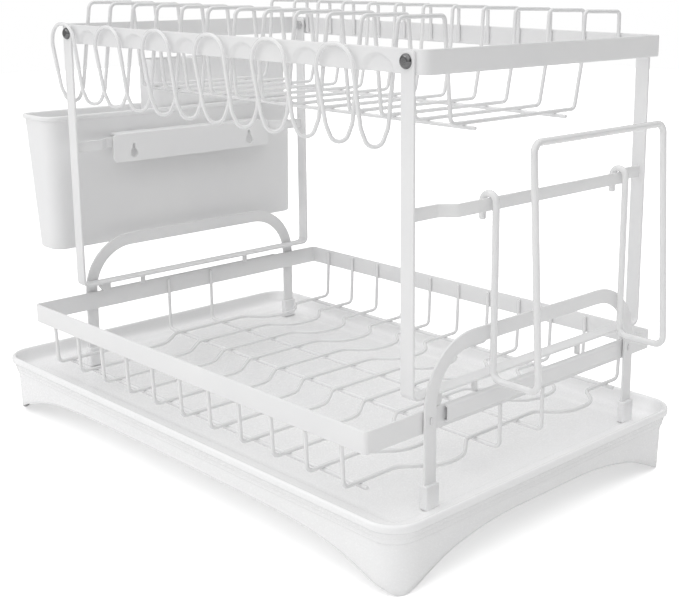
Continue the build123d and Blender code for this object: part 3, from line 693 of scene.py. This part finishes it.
def bin_ring(z, grow, radius=None):
    """A ring of the tapered bin: flat wall on the rack's side, leaning wall outside."""
    share = (z - BIN_BOTTOM) / (BIN_TOP - BIN_BOTTOM)
    inner, outer = BIN_IN + grow, BIN_OUT_BOTTOM + (BIN_OUT_TOP - BIN_OUT_BOTTOM) * share - grow
    half_y = (BIN_BACK - BIN_FRONT) / 2 - BIN_END_TAPER * (1 - share) + grow
    middle = ((inner + outer) / 2, (BIN_FRONT + BIN_BACK) / 2)
    half = ((inner - outer) / 2, half_y)
    return rounded_ring(middle, half, radius or BIN_R + grow, z, along_x=6, along_y=40, corner=12)


def keyhole(y, z):
    """A round hole with a narrower slot above it."""
    edge = math.degrees(math.asin(KEYSLOT_R / KEYHOLE_R))
    slot = arc_points(y, z + KEYSLOT_RISE, KEYSLOT_R, 0, 180)
    return slot + arc_points(y, z, KEYHOLE_R, 90 + edge, 450 - edge, 20)


def build_bin():
    rings = [bin_ring(*row) for row in BIN_BASE_ROWS]
    rings += [bin_ring(z, 0.0) for z in (175, 205, 235, 260.5)]
    rings += [bin_ring(*row) for row in BIN_LIP_ROWS]
    rings += [bin_ring(z, -BIN_WALL) for z in (235, 205, 175, 151.0)]
    rings += [bin_ring(*row) for row in BIN_FLOOR_ROWS]
    shell = make_mesh("utensil_bin_shell", *loft(rings))
    place(shell, "bin", bin_plastic, ("utensil_bin",))


def build_bin_hanger():
    """The upright keyhole plate and the level web that joins it to the bin."""
    outline = rounded_outline((HANGER_FRONT, HANGER_BOTTOM), (HANGER_BACK, HANGER_TOP), HANGER_R)
    holes = [keyhole(y, KEYHOLE_Z) for y in KEYHOLE_Y]
    upright = Matrix.Translation(Vector((HANGER_X * MM, 0, 0))) @ TO_YZ
    plate = flat_plate("bin_hanger_front", [outline] + holes, HANGER_T, HANGER_EDGE, upright)
    place(plate, "bin", bin_plastic, ("bin_hanger_plate",))
    y, z = (HANGER_FRONT + HANGER_BACK) / 2, HANGER_TOP - HANGER_T / 2
    path = [Vector((WEB_START, y, z)), Vector((WEB_END, y, z))]
    web = make_mesh("bin_hanger_web", *strip_mesh(path, (0, 1, 0), WEB_W, HANGER_T, WEB_EDGE))
    place(web, "bin", bin_plastic)


build_bin()
build_bin_hanger()

# ------------------------------------------------------------------ cutlery insert
INSERT_LOW, INSERT_HIGH, INSERT_R = (-259.5, -15.0), (-231.5, 143.0), 7.0
INSERT_BOTTOM, INSERT_TOP, INSERT_WALL, INSERT_EDGE = 149.0, 310.0, 1.8, 0.5
CELL_PITCH, CELL_HALF, CELL_R = 52.67, 24.5, 5.0
RIB_COUNT, RIB_D, RIB_STEP = 22, 0.35, 0.9
FLOOR_INSET, FLOOR_R, FLOOR_Z, FLOOR_EDGE = 1.5, 6.0, 150.0, 0.2


def ribbed_outline():
    """The insert's outline with shallow upright ribs pressed into its two long sides."""
    plain = rounded_outline(INSERT_LOW, INSERT_HIGH, INSERT_R, 10)
    rib_start = INSERT_LOW[1] + INSERT_R
    rib_length = INSERT_HIGH[1] - INSERT_LOW[1] - 2 * INSERT_R
    middle_x = (INSERT_LOW[0] + INSERT_HIGH[0]) / 2
    out = []
    for (x, y), (next_x, next_y) in zip(plain, plain[1:] + plain[:1]):
        length = math.hypot(next_x - x, next_y - y)
        steps = max(1, round(length / RIB_STEP))
        for s in range(steps):
            px, py = x + (next_x - x) * s / steps, y + (next_y - y) * s / steps
            if length > rib_length / 2:
                phase = 2 * math.pi * RIB_COUNT * (py - rib_start) / rib_length
                depth = RIB_D * (1 - math.cos(phase)) / 2
                px += depth if x < middle_x else -depth
            out.append((px, py))
    return out


def build_insert():
    (out_x, front), (in_x, back) = INSERT_LOW, INSERT_HIGH
    outlines = [ribbed_outline()]
    for order in (-1, 0, 1):
        middle = (front + back) / 2 + CELL_PITCH * order
        low, high = (out_x + INSERT_WALL, middle - CELL_HALF), (in_x - INSERT_WALL, middle + CELL_HALF)
        outlines.append(rounded_outline(low, high, CELL_R))
    lift = Matrix.Translation(Vector((0, 0, (INSERT_BOTTOM + INSERT_TOP) / 2 * MM)))
    walls = flat_plate("cutlery_insert_walls", outlines, INSERT_TOP - INSERT_BOTTOM, INSERT_EDGE, lift)
    place(walls, "insert", bin_plastic, ("cutlery_insert",))
    low, high = (out_x + FLOOR_INSET, front + FLOOR_INSET), (in_x - FLOOR_INSET, back - FLOOR_INSET)
    lift = Matrix.Translation(Vector((0, 0, FLOOR_Z * MM)))
    outline = rounded_outline(low, high, FLOOR_R)
    floor = flat_plate("cutlery_insert_floor", [outline], INSERT_WALL, FLOOR_EDGE, lift)
    place(floor, "insert", bin_plastic)


build_insert()

# ------------------------------------------------------------------ carried-over CAD pieces
LOOKS = {
    "bright_steel": bright_steel, "cap_plastic": cap_plastic, "clip_plastic": clip_plastic,
    "strip_coat": strip_coat, "wire_coat": wire_coat,
    "bin_plastic": bin_plastic, "tray_plastic": tray_plastic,
}
slot_of = {entry["node"]: entry.get("material_slot") for entry in frame["record"]["subparts"]}
for node, cad_object in frame["nodes"].items():
    for material_slot in cad_object.material_slots:
        # The dome screws take the chrome whose dark base colour is painted reflection.
        material_slot.material = chrome_painted_dark_reflection if node == "dome_screws" else LOOKS[slot_of[node]]

# ------------------------------------------------------------------ stage and light
STUDIO_HALF, STUDIO_CORNER, STUDIO_Z, STUDIO_GLOW = 3500, 400, -0.2, 0.5


def build_floor():
    """A pale floor that is brighter to the camera than to the object that stands on it."""
    half = (STUDIO_HALF, STUDIO_HALF)
    ring = rounded_ring((0, 0), half, STUDIO_CORNER, STUDIO_Z, along_x=8, along_y=8, corner=6)
    studio_floor = make_mesh("studio_floor", ring, [tuple(range(len(ring)))])
    material, tree, shader = node_material("studio_paper")
    paper = tint(tree, noise(tree, object_space(tree), 3.0), (0.93, 0.93, 0.93), (0.95, 0.95, 0.95))
    tree.links.new(paper, shader["Base Color"])
    shader["Roughness"].default_value = 0.9
    shader["Emission Color"].default_value = (1, 1, 1, 1)
    seen = tree.nodes.new("ShaderNodeLightPath")
    tree.links.new(ramp(tree, seen.outputs["Is Camera Ray"], 0.0, STUDIO_GLOW), shader["Emission Strength"])
    studio_floor.data.materials.append(material)


def sky_lobe(tree, axis, start, end, low, high):
    """A soft bright or dark patch of the studio around one direction."""
    coords = tree.nodes.new("ShaderNodeTexCoord")
    dot = tree.nodes.new("ShaderNodeVectorMath")
    dot.operation = "DOT_PRODUCT"
    tree.links.new(coords.outputs["Generated"], dot.inputs[0])
    dot.inputs[1].default_value = Vector(axis).normalized()
    return ramp(tree, dot.outputs["Value"], low, high, start, end, "SMOOTHSTEP")


def build_world():
    """A white backdrop to the camera, and to the object a soft sky that is dark on its right."""
    world = bpy.data.worlds.new("studio_world")
    world.use_nodes = True
    tree = world.node_tree
    backdrop = tree.nodes["Background"]
    backdrop.inputs["Color"].default_value = (1, 1, 1, 1)
    backdrop.inputs["Strength"].default_value = 1.0
    lighting = tree.nodes.new("ShaderNodeBackground")
    lighting.inputs["Color"].default_value = (1, 1, 1, 1)
    product = tree.nodes.new("ShaderNodeMath")
    product.operation = "MULTIPLY"
    tree.links.new(sky_lobe(tree, (0.93, 0.32, 0.05), 0.62, 0.96, 1.0, 0.03), product.inputs[0])
    tree.links.new(sky_lobe(tree, (0.1, -0.2, 0.95), 0.1, 1.0, 0.5, 1.32), product.inputs[1])
    tree.links.new(product.outputs["Value"], lighting.inputs["Strength"])
    seen = tree.nodes.new("ShaderNodeLightPath")
    choose = tree.nodes.new("ShaderNodeMixShader")
    tree.links.new(seen.outputs["Is Camera Ray"], choose.inputs["Fac"])
    tree.links.new(lighting.outputs["Background"], choose.inputs[1])
    tree.links.new(backdrop.outputs["Background"], choose.inputs[2])
    tree.links.new(choose.outputs["Shader"], tree.nodes["World Output"].inputs["Surface"])
    bpy.context.scene.world = world


def soft_light(name, place_mm, aim_mm, size_mm, power):
    light = bpy.data.lights.new(name, "AREA")
    light.shape = "RECTANGLE"
    light.size, light.size_y = size_mm[0] * MM, size_mm[1] * MM
    light.energy = power
    lamp = add_object(name, light)
    lamp.location = Vector(place_mm) * MM
    lamp.rotation_euler = (Vector(aim_mm) - Vector(place_mm)).to_track_quat("-Z", "Y").to_euler()


build_floor()
build_world()
soft_light("key_softbox", (-900, -1500, 1300), (0, 0, 180), (900, 900), 3)

# ------------------------------------------------------------------ camera
AZIMUTH, ELEVATION, ROLL = math.radians(43.82), math.radians(12.45), math.radians(0.40)
TARGET, DISTANCE = Vector((63.5, 54.8, 181.4)), 993.2
SENSOR_W, LENS, SHIFT_X, SHIFT_Y = 36.0, 63.851, -0.138292, -0.098969


def build_camera():
    level = math.cos(ELEVATION)
    forward = Vector((-math.sin(AZIMUTH) * level, math.cos(AZIMUTH) * level, -math.sin(ELEVATION)))
    right = Vector((math.cos(AZIMUTH), math.sin(AZIMUTH), 0))
    upward = right.cross(forward)
    right_rolled = right * math.cos(ROLL) + upward * math.sin(ROLL)
    up_rolled = upward * math.cos(ROLL) - right * math.sin(ROLL)
    data = bpy.data.cameras.new("photo_camera")
    data.sensor_width = SENSOR_W
    data.lens = LENS
    data.shift_x, data.shift_y = SHIFT_X, SHIFT_Y
    data.clip_start, data.clip_end = 0.01, 50
    camera = add_object("photo_camera", data)
    rotation = Matrix((right_rolled, up_rolled, -forward)).transposed()
    camera.matrix_world = Matrix.Translation((TARGET - forward * DISTANCE) * MM) @ rotation.to_4x4()
    bpy.context.scene.camera = camera


build_camera()
bpy.context.scene.view_settings.view_transform = "Standard"
